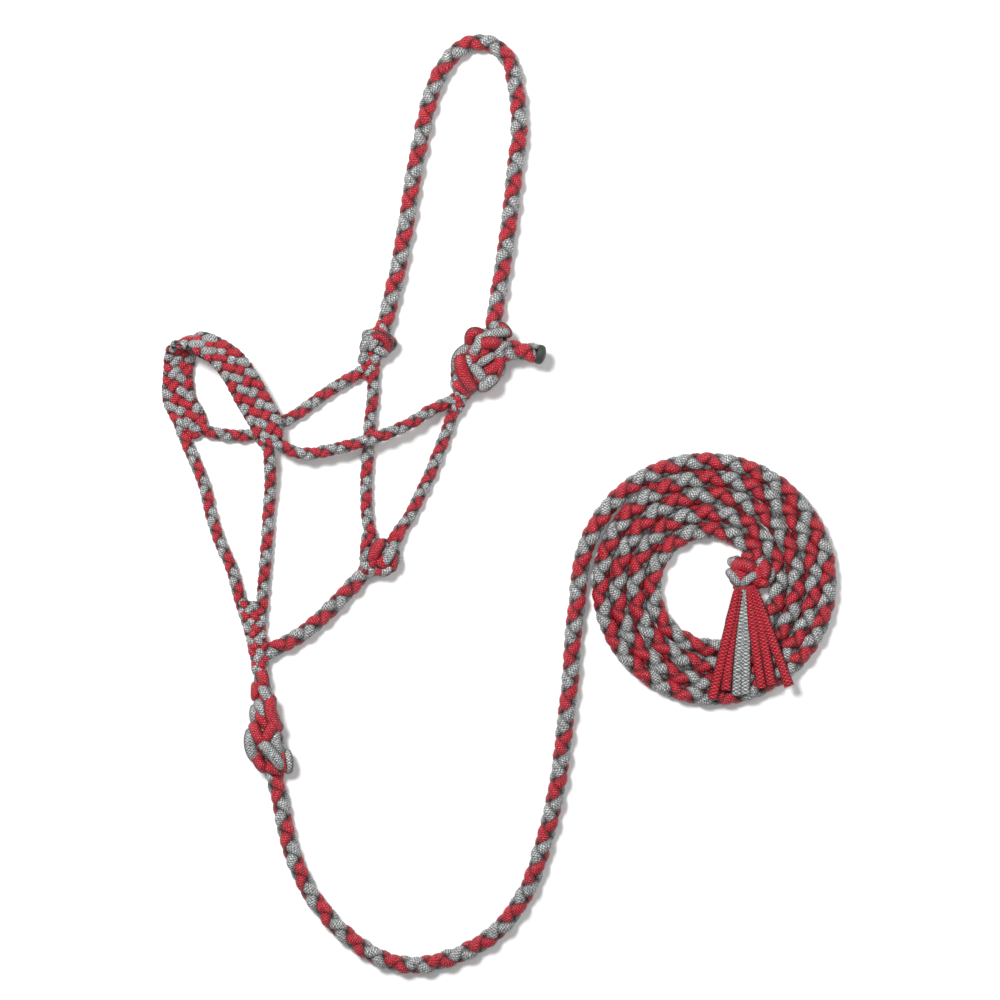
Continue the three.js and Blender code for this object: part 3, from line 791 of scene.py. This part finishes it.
knot = Builder()
lobes(knot, [
    (357.5, -159, 368.5, -171.5, 21.5, 9, GREY, -1.2), (383.5, -161.5, 369.5, -171.5, 23, 9, GREY, -0.8),
    (361, -154, 380.5, -159.5, 23.5, 15.5, RED, 2.5), (388, -150, 388, -166.5, 21.5, 13, RED, 2),
    (385, -170, 394, -170, 18, 10.5, RED, 0), (358, -151, 367, -148.5, 17, 9.5, GREY, 0),
    (395.5, -155, 393.5, -169, 16, 10.5, GREY, 2), (364, -174.5, 385, -174.5, 17, 6, RED, 0),
    (371, -146, 381, -149, 17, 11, RED, 1),
], dive=9.0)
lathe_along(knot, (368, -150, 11), (368, -175.5, 12), [3, 7, 9.5, 10.5, 11, 11, 10.5, 9.5, 7, 3], RED)
lathe_along(knot, (383, -150, 11), (383, -175.5, 12), [3, 7, 9, 10, 10.5, 10.5, 10, 9, 7, 3], RED)
tassel_knot = riding(knot.build("tassel_knot_cords"), "lead", "lead_braid", "tassel_knot")

TASSEL_X = 373
TASSEL_HINGE_Y = -177.5
TASSEL_ROOT_Y = -175.6
TASSEL_SPACING = 2.8
TASSEL_Z = 17.6
TASSEL_WIDTH, TASSEL_THICK = 9.4, 3.0
# end x, end y, colour, lift above the coil and sideways bow of each cord, mm
tassel_rows = [
    (341, -280, RED, 2.4, 1.2),
    (354, -272, RED, 1.2, -0.9),
    (364, -277, GREY, 0.0, 0.3),
    (372.5, -276, GREY, 0.2, 0.4),
    (388, -270, RED, 1.5, -0.8),
    (397, -267, RED, 2.2, 0.9),
    (414, -268, RED, 3.0, -1.1),
]
for i, (x, y, colour, lift, sway) in enumerate(tassel_rows):
    root = TASSEL_X + (i - 3) * TASSEL_SPACING
    h = TASSEL_Z + lift
    bow = (i - 3) * 0.3 + sway
    route = [(root, TASSEL_ROOT_Y, h)]
    for part, drop in ((0.25, 0), (0.6, 0.5)):
        route.append((root + (x - root) * part + bow, TASSEL_HINGE_Y + (y - TASSEL_HINGE_Y) * part, h - drop))
    route.append((x, y, 18.6 + lift * 0.5))
    strand = Builder()
    gather = 0.36 if colour == GREY else 0.62
    single_cord(strand, route, TASSEL_WIDTH, TASSEL_THICK, colour, ends=(True, False), gather=gather)
    cord_obj = strand.build(f"tassel_cord_{i + 1}", [red_flat, grey_flat])
    slot_name = "red_cord" if colour == RED else "grey_cord"
    riding(cord_obj, f"strand_{i + 1}", slot_name, f"tassel_strand_{i + 1}")
